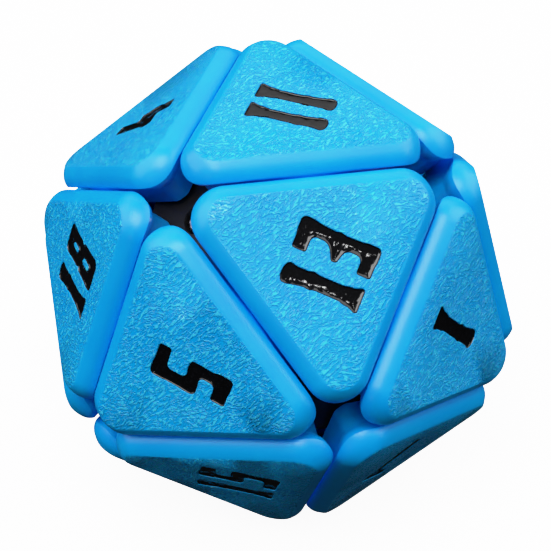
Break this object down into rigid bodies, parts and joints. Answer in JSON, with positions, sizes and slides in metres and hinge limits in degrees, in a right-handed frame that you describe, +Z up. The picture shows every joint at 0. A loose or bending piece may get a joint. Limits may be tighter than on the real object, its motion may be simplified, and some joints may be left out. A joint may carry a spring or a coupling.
{
  "type": "twisty puzzle",
  "caption": "Icosahedral twisty puzzle with numbered triangular tiles that turn in five-tile caps about its corners, on sprung discs and a ball core.",
  "frame": {"origin": "centre of the ball core, where all twelve turning axes meet and where the outer box is centred", "axes": "+Z is up, through tile 11, with tile 10 flat on the surface below; -Y is the front, toward the upper edge of the front cap; X is left to right seen from the front"},
  "size_m": [0.0628, 0.0672, 0.0604],
  "materials": {
    "tile_plastic": "gloss border, fine moulded texture on the flat",
    "number_paint": "gloss black paint in the engraved numbers",
    "disc_plastic": "satin",
    "core_plastic": "satin",
    "screw_steel": "plain",
    "spring_steel": "plain"
  },
  "bodies": {
    "frame": {"core": "core_plastic", "tile_08": "tile_plastic", "tile_10": "tile_plastic", "tile_11": "tile_plastic", "tile_12": "tile_plastic", "tile_17": "tile_plastic", "disc_top_left": "disc_plastic", "disc_top_right": "disc_plastic", "disc_top_back": "disc_plastic", "disc_bottom_front": "disc_plastic", "disc_bottom_left": "disc_plastic", "disc_bottom_right": "disc_plastic", "disc_lower_back": "disc_plastic", "disc_lower_right": "disc_plastic", "disc_lower_left": "disc_plastic", "spring_top_left": "spring_steel", "spring_top_right": "spring_steel", "spring_top_back": "spring_steel", "spring_upper_front": "spring_steel", "spring_upper_left": "spring_steel", "spring_upper_right": "spring_steel", "spring_bottom_front": "spring_steel", "spring_bottom_left": "spring_steel", "spring_bottom_right": "spring_steel", "spring_lower_back": "spring_steel", "spring_lower_right": "spring_steel", "spring_lower_left": "spring_steel", "screw_top_left": "screw_steel", "screw_top_right": "screw_steel", "screw_top_back": "screw_steel", "screw_upper_front": "screw_steel", "screw_upper_left": "screw_steel", "screw_upper_right": "screw_steel", "screw_bottom_front": "screw_steel", "screw_bottom_left": "screw_steel", "screw_bottom_right": "screw_steel", "screw_lower_back": "screw_steel", "screw_lower_right": "screw_steel", "screw_lower_left": "screw_steel"},
    "cap_upper_front": {"tile_01": "tile_plastic", "tile_05": "tile_plastic", "tile_07": "tile_plastic", "tile_13": "tile_plastic", "tile_15": "tile_plastic", "disc_upper_front": "disc_plastic"},
    "cap_upper_left": {"tile_02": "tile_plastic", "tile_04": "tile_plastic", "tile_14": "tile_plastic", "tile_18": "tile_plastic", "tile_20": "tile_plastic", "disc_upper_left": "disc_plastic"},
    "cap_upper_right": {"tile_03": "tile_plastic", "tile_06": "tile_plastic", "tile_09": "tile_plastic", "tile_16": "tile_plastic", "tile_19": "tile_plastic", "disc_upper_right": "disc_plastic"}
  },
  "joints": [
    {"name": "turn_upper_front", "type": "hinge", "parent": "frame", "child": "cap_upper_front", "pos_m": [0, 0, 0], "axis": [0, -0.9822, 0.1876], "continuous": true},
    {"name": "turn_upper_left", "type": "hinge", "parent": "frame", "child": "cap_upper_left", "pos_m": [0, 0, 0], "axis": [-0.8507, 0.4911, 0.1876], "range_deg": [-144, 144]},
    {"name": "turn_upper_right", "type": "hinge", "parent": "frame", "child": "cap_upper_right", "pos_m": [0, 0, 0], "axis": [0.8507, 0.4911, 0.1876], "range_deg": [-144, 144]}
  ]
}
